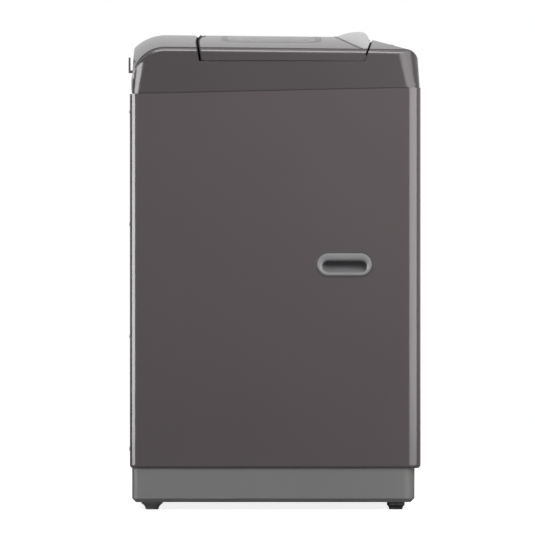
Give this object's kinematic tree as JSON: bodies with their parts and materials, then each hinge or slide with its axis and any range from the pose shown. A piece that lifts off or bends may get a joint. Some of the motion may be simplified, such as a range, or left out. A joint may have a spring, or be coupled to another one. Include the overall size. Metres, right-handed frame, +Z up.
{
  "type": "top load washing machine",
  "caption": "Top-loading washing machine: dark cabinet on a grey base, domed hinged lid with a silver handle and smoked window, side hand grips, sprung tub, spinning basket and pulsator.",
  "frame": {"origin": "bottom centre of the cabinet, on the floor", "axes": "X is the width, the front with the controls faces -Y, the rear faces +Y, Z is up"},
  "size_m": [0.544, 0.543, 0.8895],
  "materials": {
    "body_paint": "satin coat",
    "rear_steel": "zinc coated",
    "base_plastic": "moulded, fine grain",
    "top_plastic": "satin moulded",
    "trim_plastic": "black moulded",
    "handle_silver": "metallic coat",
    "lid_glass": "smoked",
    "panel_gloss": "polished black",
    "display_glass": "tinted",
    "key_plastic": "silver coat",
    "grip_plastic": "moulded",
    "foot_rubber": "matt",
    "foot_plastic": "matt",
    "steel": "zinc plated",
    "drum_steel": "brushed",
    "white_plastic": "moulded",
    "grey_plastic": "moulded",
    "cap_silver": "metallic coat",
    "board_green": "lacquered",
    "cast_alloy": "as cast",
    "winding": "enamelled wire",
    "magnet_grey": "ground"
  },
  "bodies": {
    "cabinet": {"cabinet_wrap": "body_paint", "rear_panel": "rear_steel", "rear_screws": "steel", "base": "base_plastic", "rear_feet": "foot_rubber", "foot_locknuts": "steel", "top_cover": "top_plastic", "hose_hook": "trim_plastic", "hinge_brackets": "steel", "control_panel": "panel_gloss", "display_window": "display_glass", "control_board": "board_green", "left_grip": "grip_plastic", "right_grip": "grip_plastic", "dispenser_housing": "white_plastic", "inlet_valve": "white_plastic", "inlet_duct": "white_plastic", "pressure_sensor": "white_plastic", "lid_lock": "trim_plastic", "corner_brackets": "steel", "rod_seats": "white_plastic", "suspension_rods": "steel", "spring_caps": "grey_plastic", "suspension_springs": "steel", "drain_hose": "foot_rubber", "drain_outlet": "trim_plastic", "cord_gland": "foot_rubber"},
    "lid": {"lid_frame": "top_plastic", "lid_window": "lid_glass", "lid_handle": "handle_silver", "lid_liner": "trim_plastic", "lid_pads": "foot_rubber"},
    "tub": {"outer_tub": "white_plastic", "tub_cover": "white_plastic", "bearing_housing": "cast_alloy", "shaft_bearings": "steel", "shaft_seal": "foot_rubber", "stator": "winding", "drain_valve": "white_plastic", "drain_motor": "trim_plastic"},
    "basket": {"drum": "drum_steel", "basket_base": "grey_plastic", "balance_ring": "grey_plastic", "spin_shaft": "steel", "lint_filters": "white_plastic"},
    "agitator": {"pulsator": "grey_plastic", "pulsator_cap": "cap_silver", "drive_shaft": "steel", "rotor": "steel", "rotor_magnets": "magnet_grey", "rotor_nut": "steel"},
    "drawer": {"detergent_drawer": "grey_plastic"},
    "left_foot": {"left_levelling_foot": "foot_plastic"},
    "right_foot": {"right_levelling_foot": "foot_plastic"},
    "power_key": {"power_button": "key_plastic"},
    "water_key": {"water_button": "key_plastic"},
    "wash_key": {"wash_button": "key_plastic"},
    "rinse_key": {"rinse_button": "key_plastic"},
    "spin_key": {"spin_button": "key_plastic"},
    "start_key": {"start_button": "key_plastic"}
  },
  "joints": [
    {"name": "lid_hinge", "type": "hinge", "parent": "cabinet", "child": "lid", "pos_m": [0, 0.13, 0.86921], "axis": [-1, 0, 0], "range_deg": [0, 92]},
    {"name": "tub_bounce", "type": "slide", "parent": "cabinet", "child": "tub", "axis": [0, 0, 1], "range_m": [-0.025, 0.008], "stiffness_N_per_m": 10000, "springref_m": 0.02473, "deforming": ["suspension_springs", "drain_hose"]},
    {"name": "basket_spin", "type": "hinge", "parent": "tub", "child": "basket", "pos_m": [0, 0, 0.2], "axis": [0, 0, 1], "continuous": true},
    {"name": "agitator_spin", "type": "hinge", "parent": "tub", "child": "agitator", "pos_m": [0, 0, 0.2], "axis": [0, 0, 1], "continuous": true},
    {"name": "drawer_slide", "type": "slide", "parent": "cabinet", "child": "drawer", "axis": [0, -1, 0], "range_m": [0, 0.085]},
    {"name": "left_foot_screw", "type": "slide", "parent": "cabinet", "child": "left_foot", "axis": [0, 0, 1], "range_m": [0, 0.006]},
    {"name": "right_foot_screw", "type": "slide", "parent": "cabinet", "child": "right_foot", "axis": [0, 0, 1], "range_m": [0, 0.006]},
    {"name": "power_press", "type": "slide", "parent": "cabinet", "child": "power_key", "axis": [0, 0.2681, -0.9634], "range_m": [0, 0.0015], "stiffness_N_per_m": 500, "springref_m": -0.0005},
    {"name": "water_press", "type": "slide", "parent": "cabinet", "child": "water_key", "axis": [0, 0.2681, -0.9634], "range_m": [0, 0.0015], "stiffness_N_per_m": 500, "springref_m": -0.0005},
    {"name": "wash_press", "type": "slide", "parent": "cabinet", "child": "wash_key", "axis": [0, 0.2681, -0.9634], "range_m": [0, 0.0015], "stiffness_N_per_m": 500, "springref_m": -0.0005},
    {"name": "rinse_press", "type": "slide", "parent": "cabinet", "child": "rinse_key", "axis": [0, 0.2681, -0.9634], "range_m": [0, 0.0015], "stiffness_N_per_m": 500, "springref_m": -0.0005},
    {"name": "spin_press", "type": "slide", "parent": "cabinet", "child": "spin_key", "axis": [0, 0.2681, -0.9634], "range_m": [0, 0.0015], "stiffness_N_per_m": 500, "springref_m": -0.0005},
    {"name": "start_press", "type": "slide", "parent": "cabinet", "child": "start_key", "axis": [0, 0.2681, -0.9634], "range_m": [0, 0.0015], "stiffness_N_per_m": 500, "springref_m": -0.0005}
  ]
}
